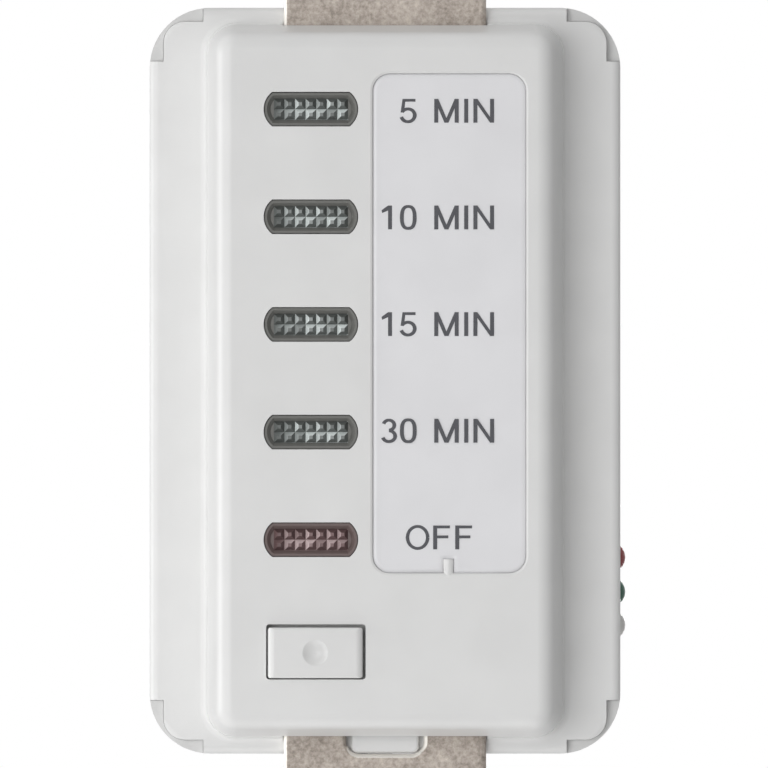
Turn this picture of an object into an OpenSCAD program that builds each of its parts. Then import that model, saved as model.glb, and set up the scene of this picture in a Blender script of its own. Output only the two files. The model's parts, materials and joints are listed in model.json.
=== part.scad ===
// In-wall timer switch. Millimetres, +Z up, -Y towards the user.
// The origin is the centre of the mounting strap's rear face, which lies on the flange.

/* [Flange] */
// Width of the flange on each side of the raised frame
flange_side = 5.3; // [4.6:0.1:6]
// Height of the flange above and below the raised frame
flange_end = 1.5; // [1.3:0.1:2.4]
// Thickness of the flange
flange_t = 2.4; // [2:0.1:3.2]
// Corner radius of the flange outline
flange_r = 5.6; // [4.8:0.1:6.4]
// Rounding of the flange's front edge
flange_edge = 0.8; // [0.3:0.1:1.2]
// Width of the corner notches that show the rear housing
notch_w = 1.3; // [1:0.1:1.6]
// Length of a corner notch along each side, from the outline's corner
notch_run = 5; // [4.2:0.1:6]
// Inner corner radius of the notches
notch_r = 2; // [1.4:0.1:2.6]
// Depth of the housing's corner lugs below the flange's front
lug_drop = 1; // [0.4:0.1:1.6]

/* [Raised frame] */
// Width of the raised frame at its foot
frame_w = 33.2; // [31:0.1:35]
// Height of the raised frame at its foot
frame_h = 66.4; // [62:0.1:70]
// Rise of the raised frame above the flange
frame_rise = 8; // [7.7:0.1:9.5]
// Draft of the frame's walls, over the whole rise
frame_draft = 1.1; // [0.6:0.1:1.3]
// Corner radius at the frame's foot
frame_r = 2.8; // [2.6:0.1:4]
// Rounding of the frame's front edges
frame_edge = 1.5; // [0.8:0.1:1.7]
// Cove between the flange and the frame
frame_cove = 0.6; // [0.3:0.1:1]
// Thickness of the front face
face_wall = 1.8; // [1.5:0.1:2]
// Thickness of the side walls at the foot
side_wall = 2; // [1.8:0.1:2.2]

/* [Indicator windows] */
// Width of a window
window_w = 8.75; // [7.5:0.05:9.2]
// Height of a window
window_h = 3.2; // [2.8:0.1:3.6]
// Radius of the rounded window ends
window_r = 2; // [1.9:0.05:2.4]
// Distance of the windows' centres from the frame's left edge
window_side = 9.75; // [9.5:0.05:10.2]
// Distance of the top window's centre from the frame's upper edge
window_drop = 8.1; // [7.7:0.1:9]
// Distance of the lowest window's centre from the button's centre
window_rise = 10.45; // [9.6:0.05:11]
// Lens rim below the front face
lens_sink = 0.25; // [0.1:0.05:0.5]
// Depth of the lens field below its rim
lens_field = 0.5; // [0.3:0.05:0.7]
// Width of the lens rim
lens_rim = 0.3; // [0.2:0.05:0.45]
// Slope width of the lens bevel
lens_bevel = 0.35; // [0.2:0.05:0.45]
// Overlap of the lens lip behind the face
lens_lip = 0.7; // [0.4:0.1:0.9]
// Thickness of the lens lip
lens_lip_t = 0.8; // [0.5:0.1:0.9]
// Columns of prisms on a lens
prism_columns = 7; // [5:1:7]
// Rows of prisms on a lens
prism_rows = 2; // [1:1:2]
// Distance from prism to prism
prism_pitch = 0.98; // [0.8:0.02:1]
// Height of a prism
prism_h = 0.35; // [0.2:0.05:0.45]

/* [Legend plate] */
// Face between the windows and the legend plate's pocket
plate_beside = 1.325; // [1:0.025:1.8]
// Distance of the pocket from the frame's right edge
plate_side = 3.55; // [3.2:0.05:4.4]
// Reach of the pocket above the top window's centre
plate_over = 3.3; // [2.6:0.1:3.8]
// Reach of the pocket below the lowest window's centre
plate_under = 3.1; // [2.6:0.1:4]
// Corner radius of the pocket
plate_r = 1.6; // [1:0.1:2.2]
// Thickness of the plate
plate_t = 0.4; // [0.3:0.05:0.6]
// Plate face below the front face
plate_sink = 0.2; // [0.1:0.05:0.4]
// Radius of the pocket's rounded shoulders
plate_shoulder = 0.8; // [0.4:0.1:1]
// Gap around the plate
plate_gap = 0.1; // [0.03:0.01:0.2]
// Width of the nib that keys the plate
nib_w = 0.9; // [0.6:0.1:1.4]
// Length of the nib
nib_l = 1.3; // [0.8:0.1:2]
// Sideways place of the nib, from the plate's centre
nib_x = -0.1; // [-3:0.1:3]

/* [Push button] */
// Width of the button's opening
button_w = 9.2; // [8.4:0.1:9.6]
// Height of the button's opening
button_h = 5.1; // [4.6:0.1:5.4]
// Corner radius of the button's opening
button_r = 0.3; // [0.2:0.1:0.9]
// Place of the button's centre to the right of the windows' centres
button_shift = 0.4; // [0:0.05:0.8]
// Distance of the button's centre from the frame's lower edge
button_rise = 8.05; // [7.6:0.05:9]
// Button face in front of the raised frame
button_proud = 0.6; // [0.55:0.05:1.2]
// Gap around the button
button_gap = 0.22; // [0.12:0.02:0.3]
// Rounding of the button's left and right front edges
button_edge = 0.6; // [0.3:0.1:0.8]
// Rounding of the button's upper and lower front edges
button_end = 0.2; // [0.1:0.05:0.4]
// Travel of the button
button_travel = 0.5; // [0.3:0.05:0.5]
// Overlap of the button's flange behind the face
button_lip = 0.6; // [0.4:0.1:0.8]
// Thickness of the button's flange
button_lip_t = 0.6; // [0.4:0.05:0.65]
// Width of the finger dimple, with its rounded rim
dimple_d = 2.4; // [2:0.1:3.4]
// Depth of the finger dimple
dimple_t = 0.5; // [0.3:0.05:0.6]
// Radius of the dimple's rounded rim
dimple_rim = 0.5; // [0.4:0.1:1]

/* [Mounting strap] */
// Width of the strap
strap_w = 18.8; // [17:0.1:20]
// Thickness of the strap
strap_t = 1.2; // [1:0.1:1.4]
// Length of the strap
strap_l = 106.4; // [104:0.1:110]
// Corner radius of the strap's ends
strap_r = 2; // [0.8:0.1:3]
// Rounding of the strap's front edges
strap_edge = 0.5; // [0.2:0.1:0.7]
// Distance between the box screw slots
box_screw_pitch = 83.3; // [83:0.1:84]
// Width of a box screw slot
slot_w = 4.4; // [4.2:0.1:5]
// Length of a box screw slot
slot_l = 7.2; // [6:0.1:9]
// Distance between the wall plate screw holes
plate_screw_pitch = 96.8; // [96.5:0.1:97]
// Diameter of the wall plate screw holes
plate_hole_d = 2.9; // [2.7:0.05:3.2]
// Width of the key slot at the strap's lower end
key_w = 7.2; // [6:0.1:8]
// Reach of the key slot below the raised frame
key_reach = 1.5; // [1.3:0.05:2.6]
// Corner radius of the key slot
key_r = 1.2; // [0.6:0.1:1.6]
// Radius of the key slot's rounded front edge
key_round = 0.55; // [0.2:0.05:0.6]
// Gap between the strap and its seat in the cover
strap_gap = 0.12; // [0.05:0.01:0.25]
// Gap between the key slot and the cover's tongue
tongue_gap = 0.45; // [0.3:0.05:0.8]
// Height of the tongue above the flange
tongue_h = 0.9; // [0.5:0.1:1]
// Rounding of the tongue's front edges
tongue_edge = 0.3; // [0.1:0.05:0.4]

/* [Rear housing] */
// Depth of the housing behind the flange
body_depth = 27.6; // [26.4:0.1:32]
// Depth of the housing's full-size rim
rim_depth = 3; // [2:0.1:5]
// Step from the rim in to the body
body_inset = 0.9; // [0.6:0.1:1.2]
// Draft of the body's walls, over the whole depth
body_draft = 0.4; // [0.2:0.1:0.5]
// Corner radius of the body
body_r = 4.6; // [4:0.1:5.4]
// Rounding of the body's back edges
body_edge = 1.6; // [0.8:0.1:1.8]
// Thickness of the body's side walls
body_wall = 1.6; // [1.4:0.1:1.9]
// Thickness of the back wall
back_wall = 1.8; // [1.4:0.1:2.4]
// Inner corner radius of the body
cavity_r = 2.4; // [1:0.1:3]
// Radius of the screw posts
post_r = 3.2; // [3:0.1:3.4]
// Radius of the cover's screw bosses
boss_r = 2.6; // [2.2:0.1:2.8]
// Diameter of a housing screw
screw_d = 2.2; // [1.8:0.1:2.4]
// Diameter of a screw head
screw_head_d = 4.1; // [3.6:0.1:4.3]
// Height of a screw head
screw_head_h = 1.5; // [1.2:0.1:2]
// Depth of the counterbores in the back
counterbore = 8; // [4:0.1:10]

/* [Boards] */
// Thickness of the control board
control_t = 1.2; // [1:0.1:1.4]
// Height of the posts that carry the control board
control_post_h = 2.9; // [2.8:0.05:3.1]
// Radius of those posts
control_post_r = 1.4; // [1.2:0.1:1.5]
// Diameter of the posts' pins
control_pin_d = 1.5; // [1.2:0.1:1.8]
// Thickness of the insulator sheet
insulator_t = 0.3; // [0.2:0.05:0.4]
// Thickness of the power board
power_t = 1.6; // [1.2:0.1:1.8]
// Number of link pins
link_pins = 6; // [4:1:6]
// Distance from pin to pin
link_pitch = 2.54; // [2:0.01:2.54]
// Thickness of a pin
link_pin_d = 0.64; // [0.5:0.02:0.8]
// Distance of the link pins from the frame's inner side wall
link_side = 2.4; // [2:0.1:2.6]
// Height of the link header's centre
link_z = 15; // [14.5:0.1:16]
// Gap between a board and the walls around it
board_gap = 0.3; // [0.2:0.05:0.5]
// Gap in holes for pins, screws and rivets
pin_gap = 0.08; // [0.04:0.01:0.12]

/* [Switch and lamps] */
// Side of the tactile switch
switch_s = 6; // [5:0.1:6.2]
// Height of the tactile switch's body
switch_h = 1.5; // [1.4:0.05:1.55]
// Diameter of the switch plunger
plunger_d = 2.6; // [2:0.1:3]
// Size of a lamp
lamp = [3.5, 1.9, 2.8]; // [1.6:0.1:3.6]
// Diameter of a lamp's light well
lamp_well_d = 2.2; // [1.4:0.1:2.4]
// Size of the microcontroller
chip = [7.5, 1.8, 11.6]; // [1.6:0.1:12]
// Size of the timing crystal
crystal = [5, 1, 3.2]; // [0.8:0.1:5.4]
// Size of a lamp resistor
chip_resistor = [3.2, 0.6, 1.6]; // [0.5:0.1:3.4]

/* [Power parts] */
// Size of the relay
relay = [15.5, 15.4, 19]; // [15:0.1:19.4]
// Gap between the relay and the housing's back wall
relay_room = 2.2; // [1.8:0.1:2.8]
// Wall of the relay's cover
relay_wall = 0.8; // [0.6:0.1:1]
// Thickness of the relay's base
relay_base_t = 1.8; // [1.4:0.1:2]
// Thickness of the relay's iron
iron_t = 1.2; // [1:0.1:1.3]
// Diameter of the relay's core
core_d = 4; // [3:0.1:4.4]
// Diameter of the relay's coil
coil_d = 8.4; // [7.6:0.1:8.8]
// Swing of the relay's armature, in degrees
armature_swing = 2.5; // [1.5:0.1:2.5]
// Diameter of a relay contact
contact_d = 2.4; // [1.8:0.1:2.8]
// Size of the film capacitor
film_cap = [8, 14, 17.5]; // [7:0.5:18]
// Diameter and height of the large filter capacitor
large_cap = [8, 12]; // [7:0.5:12.5]
// Diameter and height of the small filter capacitor
small_cap = [6.3, 11]; // [5:0.1:12]
// Diameter and thickness of the varistor
varistor_size = [9, 3.6]; // [3:0.1:9.4]
// Diameter and length of the fuse resistor
fuse_size = [4, 11]; // [3:0.1:11.4]
// Diameter and length of a rectifier diode
diode_size = [2.6, 5]; // [2:0.1:5.4]
// Diameter and height of the relay driver
driver_size = [4.8, 4.6]; // [4:0.1:5.2]
// Diameter of the components' wire legs
leg_d = 0.7; // [0.5:0.05:0.9]
// Gap from component to component on the power board
part_gap = 1.2; // [0.8:0.1:1.4]

/* [Leads] */
// Outer diameter of a lead
lead_d = 2.9; // [2.6:0.1:3.1]
// Diameter of a lead's conductor
conductor_d = 1.3; // [1:0.1:1.6]
// Gap between a lead and its hole
lead_gap = 0.15; // [0.08:0.01:0.25]
// Wall of the collars around the leads
collar_wall = 0.6; // [0.4:0.05:0.65]
// Height of the collars
collar_h = 1.2; // [0.6:0.1:2]
// Distance of the outer leads from the housing's inner side wall
lead_side = 3.4; // [3.2:0.1:3.8]
// Distance of the middle lead from the housing's inner lower wall
lead_rise = 12.7; // [12.5:0.1:13.2]
// Distance from lead hole to lead hole
lead_pitch = 4.7; // [4.6:0.05:4.9]
// Stripped length at a lead's end
strip_l = 12; // [6:1:16]
// Diameter of the ground rivet
rivet_d = 2.4; // [2:0.1:3]
// Thickness of the ground tab
tab_t = 0.8; // [0.6:0.1:1]
// Width of the ground tab
tab_w = 5; // [4.4:0.1:6]

/* [Hidden] */
$fn = 48;
eps = 0.01;

// Small play between parts that seat on each other
fit_gap = 0.1;
lug_gap = 0.05;

// Slope at which a rounded shoulder leaves its face
shoulder_start = 20;

// Depths along Y, from the front to the back
face_y = -frame_rise;
inner_y = face_y + face_wall;
control_y = inner_y + control_post_h;
control_rear = control_y + control_t;
rim_y = flange_t + rim_depth;
back_y = flange_t + body_depth;
back_inner = back_y - back_wall;
exit_y = back_y + collar_h;
power_rear = back_inner - relay_room - relay[1];
power_y = power_rear - power_t;

// Flange around the raised frame, and the hollow inside the frame
flange_w = frame_w + 2 * flange_side;
flange_h = frame_h + 2 * flange_end;
hollow_w = frame_w - 2 * side_wall;
hollow_h = frame_h - 2 * side_wall;
hollow_r = 1.2;

// Button, windows and legend plate on the face
window_x = -frame_w / 2 + window_side;
window_top_z = frame_h / 2 - window_drop;
button_x = window_x + button_shift;
button_z = -frame_h / 2 + button_rise;
off_z = button_z + window_rise;
window_pitch = (window_top_z - off_z) / 4;
plate_left = window_x + window_w / 2 + plate_beside;
plate_right = frame_w / 2 - plate_side;
plate_top = window_top_z + plate_over;
plate_foot = off_z - plate_under;
plate_w = plate_right - plate_left;
plate_h = plate_top - plate_foot;
plate_x = (plate_left + plate_right) / 2;
plate_z = (plate_top + plate_foot) / 2;
nib_round = (nib_w * nib_w / 4 + plate_sink * plate_sink) / (2 * plate_sink);
prism_land = 0.3;
lens_rear = inner_y + lens_lip_t;

// Body of the rear housing, its hollow and its screws
body_w = flange_w - 2 * body_inset;
body_h = flange_h - 2 * body_inset;
cavity_w = body_w - 2 * body_wall;
cavity_h = body_h - 2 * body_wall;
post_sink = 0.3;
screw_x = cavity_w / 2 - post_r + post_sink;
screw_z = cavity_h / 2 - post_r + post_sink;
screw_seat = back_y - counterbore;
screw_skin = 0.6;
screw_tip_gap = 0.6;
screw_tip = flange_t + screw_skin + screw_tip_gap;
recess_l = 2.5;
recess_w = 0.6;

// Control board, its carrying posts and the parts on it
control_w = hollow_w - 2 * board_gap;
control_h = hollow_h - 2 * board_gap;
post_side = 2;
post_end = 2.6;
post_x = hollow_w / 2 - post_side;
control_posts = [
    [-post_x, hollow_h / 2 - post_end], [post_x, hollow_h / 2 - post_end],
    [-post_x, (off_z + button_z) / 2], [post_x, -hollow_h / 2 + post_end]];
pin_proud = 0.2;
link_x = hollow_w / 2 - link_side;
link_hole_d = 0.96;
link_body = 2.5;
pin_tail = 0.6;
insulator_gap = 0.7;
insulator_end = 1.5;
insulator_w = 2 * (link_x - link_pin_d - insulator_gap);
insulator_h = hollow_h - 2 * insulator_end;
chip_place = [6, 1];
chip_pins = 8;
chip_pitch = 1.27;
chip_leg = [1.2, 0.25, 0.45];
crystal_gap = 2.6;
crystal_place = [chip_place[0], chip_place[1] - chip[2] / 2 - crystal_gap - crystal[2] / 2];
resistor_end = chip_place[0] - chip[0] / 2 - chip_leg[0] - board_gap;

// Button stack
button_lip_y = inner_y + fit_gap;
button_cap_r = 0.25;
opening_shift = [0.06, 0.08];
plunger_y = button_lip_y + button_lip_t + fit_gap;
switch_top = control_y - switch_h;
switch_floor = 0.3;
switch_leg = [1, 0.2, 0.7];

// Lead places, seen from the front: three at the right edge and one inside them
lead_x = cavity_w / 2 - lead_side;
lead_z = -cavity_h / 2 + lead_rise;
lead_spots = [
    [lead_x, lead_z + lead_pitch], [lead_x, lead_z], [lead_x, lead_z - lead_pitch],
    [lead_x - lead_pitch, lead_z]];
lead_tail = 2.8;
lead_start = power_rear + lead_tail;

// Ground tab between the strap's rivet and the middle lead
tab_lift = 0.9;
tab_rear = flange_t + tab_lift + tab_t;
tab_end = 2.9;
tab_clear = 0.4;
ground_tail = 1.4;
ground_start = tab_rear + ground_tail;
ground_clear = 0.5;
ground_hole_d = lead_d + 2 * ground_clear;
rivet_side = 3;
rivet_x = strap_w / 2 - rivet_side;
rivet_head_d = 4.1;
rivet_head_t = 1;

// Places on the power board: relay and film capacitor at the top left, cans above the leads
power_w = cavity_w - 2 * board_gap;
power_h = cavity_h - 2 * board_gap;
relay_side = 1.75;
relay_drop = 9.5;
relay_place = [
    -cavity_w / 2 + relay_side + relay[0] / 2, cavity_h / 2 - relay_drop - relay[2] / 2];
film_place = [relay_place[0] + relay[0] / 2 + part_gap + film_cap[0] / 2, relay_place[1]];
can_x = cavity_w / 2 - part_gap - large_cap[0] / 2;
small_place = [can_x, lead_spots[0][1] + lead_d / 2 + part_gap + small_cap[0] / 2];
large_place = [can_x, small_place[1] + small_cap[0] / 2 + part_gap + large_cap[0] / 2];
can_neck = 1.8;
can_groove = 0.45;
fuse_place = [-10, -9];
diode_place = [-1.4, -4.8];
diode_step = [3.6, -7.6];
varistor_place = [-12, -20];
driver_place = [1.5, -20];
driver_flat = 0.7;
driver_pitch = 1.27;
leg_lift = 1;

// Lead routes from each lead's exit, as steps right, back and up
red_route = [
    [0, 0, 0], [0, 6, 0], [0.7, 10.1, -0.4], [2.9, 13.7, -1.1], [5.1, 17.3, -1.9], [5.8, 21.4, -2.3],
    [5.1, 25.5, -2.5], [2.9, 29.1, -2.5], [-1.3, 32.3, -2.5], [-6.4, 33.4, -2.6], [-14.5, 33.4, -4.5],
    [-20.4, 33.4, -10.1], [-22.6, 33.4, -17.8], [-23, 33.2, -30], [-23.2, 32.8, -48], [-23.2, 32.4, -68],
    [-23, 32, -89.5]];
green_route = [
    [0, 0, 0], [0, 6, 0], [0.7, 10.1, -0.2], [2.9, 13.7, -0.5], [5.1, 17.3, -0.8], [5.8, 21.4, -0.9],
    [5.1, 25.5, -0.9], [2.9, 29.1, -0.9], [-1.3, 32.3, -0.9], [-6.4, 33.4, -1], [-13, 33.4, -2.6],
    [-17.7, 33.4, -7], [-19.5, 33.4, -13.1], [-19.7, 33.4, -26], [-19.6, 33.5, -46], [-19.4, 33.7, -68],
    [-19.2, 34, -89.8]];
white_route = [
    [0, 0, 0], [0, 6, 0], [0.7, 10.1, 0.1], [2.9, 13.7, 0.3], [5.1, 17.3, 0.5], [5.8, 21.4, 0.6],
    [5.1, 25.5, 0.7], [2.9, 29.1, 0.7], [-1.3, 32.3, 0.7], [-6.4, 33.4, 0.6], [-11.4, 33.4, -0.8],
    [-15.1, 33.4, -4.2], [-16.4, 33.4, -8.4], [-16.4, 33.5, -22], [-16.2, 33.8, -44], [-15.8, 34.3, -66],
    [-15.4, 35, -89.8]];
black_route = [
    [0, 0, 0], [0, 6, 0], [0.7, 10.1, 0], [2.8, 13.7, 0], [4.4, 16.4, 0], [4.9, 19.5, 0],
    [4.4, 22.6, 0], [2.8, 25.3, 0], [-0.3, 27.7, 0], [-4.1, 28.5, 0], [-9.1, 28.5, -1.3],
    [-12.8, 28.5, -5], [-14.1, 28.5, -10], [-14.2, 28.4, -24], [-14.2, 28.1, -46], [-14, 27.6, -72],
    [-13.8, 27, -97.5]];
lead_sides = 8;
sweep_guide = [1, 0.5, -1];

function window_z(i) = window_top_z - i * window_pitch;
function unit(v) = v / norm(v);

// Exit point of a lead, and the points of its whole route
function exit_of(i) = [lead_spots[i][0], exit_y, lead_spots[i][1]];
function lead_points(i, start, route) = concat(
    [[lead_spots[i][0], start, lead_spots[i][1]], [lead_spots[i][0], back_inner, lead_spots[i][1]]],
    [for (p = route) exit_of(i) + p]);

// Direction of a route at one of its points
function heading(pts, i) = unit(
    (i > 0 ? unit(pts[i] - pts[i - 1]) : [0, 0, 0]) +
    (i < len(pts) - 1 ? unit(pts[i + 1] - pts[i]) : [0, 0, 0]));
function across(t) = unit(sweep_guide - t * (t * sweep_guide));
function ring(p, t, r) = [
    for (k = [0:lead_sides - 1])
        let (a = 360 * k / lead_sides)
        p + r * (cos(a) * across(t) + sin(a) * cross(t, across(t)))];

// A round tube swept along a route
module tube(pts, d) {
    n = len(pts);
    rings = [for (i = [0:n - 1]) each ring(pts[i], heading(pts, i), d / 2)];
    sides = [
        for (i = [0:n - 2], k = [0:lead_sides - 1])
            let (a = i * lead_sides + k, b = i * lead_sides + (k + 1) % lead_sides)
            each [[a, a + lead_sides, b], [b, a + lead_sides, b + lead_sides]]];
    first_cap = [for (k = [0:lead_sides - 1]) k];
    last_cap = [for (k = [0:lead_sides - 1]) n * lead_sides - 1 - k];
    polyhedron(rings, concat(sides, [first_cap, last_cap]));
}

// Extrusions of a flat outline along each axis, between two places
module along_x(x0, x1) { translate([x0, 0, 0]) rotate([90, 0, 90]) linear_extrude(x1 - x0) children(); }
module along_y(y0, y1) { translate([0, y1, 0]) rotate([90, 0, 0]) linear_extrude(y1 - y0) children(); }
module along_z(z0, z1) { translate([0, 0, z0]) linear_extrude(z1 - z0) children(); }

// A round bar along Y
module bar_y(place, y0, y1, d) {
    translate([place[0], y1, place[1]]) rotate([90, 0, 0]) cylinder(d = d, h = y1 - y0);
}

// A block that stands on the plane y0 and rises along +Y
module block_y(place, y0, size) {
    translate([place[0] - size[0] / 2, y0, place[1] - size[2] / 2]) cube(size);
}

module round_rect(w, h, r) {
    square([w - 2 * r, h], center = true);
    square([w, h - 2 * r], center = true);
    for (x = [-1, 1], y = [-1, 1])
        translate([x * (w / 2 - r), y * (h / 2 - r)]) circle(r);
}

module slot_outline(l, w) {
    square([l - w, w], center = true);
    for (x = [-1, 1]) translate([x * (l - w) / 2, 0]) circle(d = w);
}

// Half section of a drafted wall: rounded front edge, cove at the foot
module wall_section(half, rise, draft, edge, cove) {
    slope = atan(draft / rise);
    centre = half - draft - edge * (1 - sin(slope)) / cos(slope);
    difference() {
        polygon([
            [0, 0], [half + cove, 0], [half + cove, cove], [half - cove * tan(slope), cove],
            [centre + edge * cos(slope), rise - edge + edge * sin(slope)], [centre, rise], [0, rise]]);
        if (cove > 0) translate([half + cove, cove]) circle(cove);
    }
    intersection() {
        translate([centre, rise - edge]) circle(edge);
        square([half, rise]);
    }
}

// A half section, swept round a rectangle with round corners, from the plane y = 0 towards -Y
module swept_round(w, h, corner) {
    dx = w / 2 - corner;
    dz = h / 2 - corner;
    for (turn = [[1, 1, 0], [1, -1, 90], [-1, -1, 180], [-1, 1, 270]])
        translate([turn[0] * dx, 0, turn[1] * dz]) rotate([90, turn[2], 0])
            rotate_extrude(angle = 90) children();
    for (side = [0, 1])
        mirror([side, 0, 0]) translate([dx, 0, -dz]) linear_extrude(2 * dz) mirror([0, 1]) children();
    for (side = [0, 1])
        mirror([0, 0, side]) translate([dx, 0, dz]) rotate([0, -90, 0]) linear_extrude(2 * dx)
            mirror([0, 1]) children();
}

// Moulded block on the plane y = 0, rising towards -Y, with drafted walls and round corners
module moulded_block(w, h, rise, draft, corner, edge, cove) {
    swept_round(w, h, corner) wall_section(corner, rise, draft, edge, cove);
    translate([corner - w / 2, -rise, corner - h / 2]) cube([w - 2 * corner, rise, h - 2 * corner]);
}

// Half section of a mouth that narrows over a rounded shoulder
module shoulder_section(inner, depth, r) {
    turn = acos(cos(shoulder_start) - depth / r);
    difference() {
        translate([0, -eps]) square([inner + r * (sin(turn) - sin(shoulder_start)), depth + eps]);
        translate([inner + r * sin(turn), r * cos(shoulder_start)]) circle(r);
    }
}

// Mouth of an opening, sunk from the plane y = 0 towards +Y
module mouth(w, h, corner, depth, r) {
    mirror([0, 1, 0]) swept_round(w, h, corner) shoulder_section(corner, depth, r);
    translate([corner - w / 2, -eps, corner - h / 2]) cube([w - 2 * corner, depth + eps, h - 2 * corner]);
}

// Cross section of a bar with rounded front edges, its front on the line y = 0
module rolled_section(w, depth, r) {
    for (x = [-1, 1]) translate([x * (w / 2 - r), r]) circle(r);
    translate([r - w / 2, 0]) square([w - 2 * r, depth]);
    translate([-w / 2, r]) square([w, depth - r]);
}

// Corner squares outside the notches' inner outline, shrunk by a gap
module corner_notches(gap) {
    difference() {
        for (x = [-1, 1], z = [-1, 1])
            translate([x * flange_w / 2, z * flange_h / 2]) square(2 * (notch_run - gap), center = true);
        round_rect(flange_w - 2 * notch_w + 2 * gap, flange_h - 2 * notch_w + 2 * gap, notch_r + gap);
    }
}

// Window outline: flat above and below, round at the ends, grown by a margin
module window_outline(margin) {
    intersection() {
        square([window_w + 2 * margin, window_h + 2 * margin], center = true);
        union() {
            square([window_w - 2 * window_r, window_h + 2 * margin], center = true);
            for (x = [-1, 1])
                translate([x * (window_w / 2 - window_r), 0]) circle(window_r + margin);
        }
    }
}

module at_window(i) { translate([window_x, 0, window_z(i)]) children(); }
module at_button() { translate([button_x, 0, button_z]) children(); }
module at_screws() { for (x = [-1, 1], z = [-1, 1]) translate([x * screw_x, 0, z * screw_z]) children(); }

// Front cover: flange and raised frame in one moulding
module front_cover() {
    tongue_top = -hollow_h / 2;
    tongue_foot = -flange_h / 2 + fit_gap;
    color("whitesmoke") difference() {
        union() {
            difference() {
                union() {
                    translate([0, flange_t, 0])
                        moulded_block(flange_w, flange_h, flange_t, 0, flange_r, flange_edge, 0);
                    moulded_block(frame_w, frame_h, frame_rise, frame_draft, frame_r, frame_edge,
                        frame_cove);
                }
                along_y(inner_y, flange_t + eps) round_rect(hollow_w, hollow_h, hollow_r);
                translate([-strap_w / 2 - strap_gap, -strap_t - strap_gap, -strap_l / 2])
                    cube([strap_w + 2 * strap_gap, strap_t + strap_gap, strap_l]);
                along_y(-eps, flange_t + eps) corner_notches(0);
            }
            for (p = control_posts) {
                bar_y(p, inner_y - eps, control_y, 2 * control_post_r);
                bar_y(p, control_y - eps, control_rear + pin_proud, control_pin_d);
            }
            at_screws() bar_y([0, 0], flange_t - eps, power_y, 2 * boss_r);
            translate([0, flange_t, (tongue_top + tongue_foot) / 2])
                moulded_block(key_w - 2 * tongue_gap, tongue_top - tongue_foot, flange_t + tongue_h, 0,
                    2 * tongue_edge, tongue_edge, 0);
        }
        for (i = [0:4])
            at_window(i) along_y(face_y - eps, inner_y + eps) window_outline(0);
        at_button() translate([opening_shift[0], 0, opening_shift[1]])
            along_y(face_y - eps, inner_y + eps) round_rect(button_w, button_h, button_r);
        translate([plate_x, face_y, plate_z]) plate_pocket();
        at_screws() bar_y([0, 0], flange_t + screw_skin, power_y + eps, screw_d + 2 * pin_gap);
    }
}

// Pocket of the legend plate, with the ridge that keys it left standing
module plate_pocket() {
    difference() {
        union() {
            mouth(plate_w - 2 * plate_gap, plate_h - 2 * plate_gap, plate_r - plate_gap, plate_sink,
                plate_shoulder);
            along_y(-eps, plate_sink + plate_t) round_rect(plate_w, plate_h, plate_r);
        }
        along_z(-plate_h / 2 - plate_shoulder, nib_l - plate_h / 2) translate([nib_x, 0]) intersection() {
            translate([0, nib_round]) circle(nib_round);
            translate([-nib_w / 2, -eps]) square([nib_w, plate_sink + plate_t + 2 * eps]);
        }
    }
}

module legend_plate() {
    notch = nib_w + 2 * plate_gap;
    color("aliceblue") translate([plate_x, 0, plate_z])
        along_y(face_y + plate_sink, face_y + plate_sink + plate_t) difference() {
            round_rect(plate_w - 2 * plate_gap, plate_h - 2 * plate_gap, plate_r - plate_gap);
            translate([nib_x - notch / 2, -plate_h / 2]) square([notch, nib_l + plate_gap]);
        }
}

// Bevelled field of a lens, cut from its front down to the field
module lens_bowl(rim_y, floor_y) {
    outer = window_h / 2 - lens_rim;
    inner = outer - lens_bevel;
    end = window_w / 2 - window_r;
    reach = window_r - window_h / 2;
    intersection() {
        along_x(-window_w / 2, window_w / 2)
            polygon([[rim_y, -outer], [floor_y, -inner], [floor_y, inner], [rim_y, outer]]);
        union() {
            translate([-end, rim_y, -window_h / 2]) cube([2 * end, floor_y - rim_y, window_h]);
            for (x = [-1, 1])
                translate([x * end, floor_y, 0]) rotate([90, 0, 0])
                    cylinder(r1 = inner + reach, r2 = outer + reach, h = floor_y - rim_y);
        }
    }
}

// Field of square prisms, left standing between crossed V grooves
module prism_field(floor_y) {
    w = prism_columns * prism_pitch;
    h = prism_rows * prism_pitch;
    groove = prism_pitch - prism_land;
    difference() {
        translate([-w / 2, floor_y - prism_h, -h / 2]) cube([w, prism_h + eps, h]);
        for (i = [0:prism_columns])
            along_z(-h, h) translate([(i - prism_columns / 2) * prism_pitch, floor_y])
                polygon([[-groove / 2, -prism_h - eps], [groove / 2, -prism_h - eps], [0, 0]]);
        for (i = [0:prism_rows])
            along_x(-w, w) translate([floor_y, (i - prism_rows / 2) * prism_pitch])
                polygon([[-prism_h - eps, -groove / 2], [-prism_h - eps, groove / 2], [0, 0]]);
    }
}

// Lens seen through a window: rim, bevelled field with prisms, lip behind the face
module lens(i) {
    rim_y = face_y + lens_sink;
    floor_y = rim_y + lens_field;
    at_window(i) {
        difference() {
            union() {
                along_y(rim_y, lens_rear) window_outline(-pin_gap);
                along_y(inner_y, lens_rear) window_outline(lens_lip);
            }
            translate([0, -eps, 0]) lens_bowl(rim_y, floor_y + eps);
        }
        prism_field(floor_y);
    }
}

module lens_5_min() { color("darkslategray") lens(0); }
module lens_10_min() { color("darkslategray") lens(1); }
module lens_15_min() { color("darkslategray") lens(2); }
module lens_30_min() { color("darkslategray") lens(3); }
module lens_off() { color("maroon") lens(4); }

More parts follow.
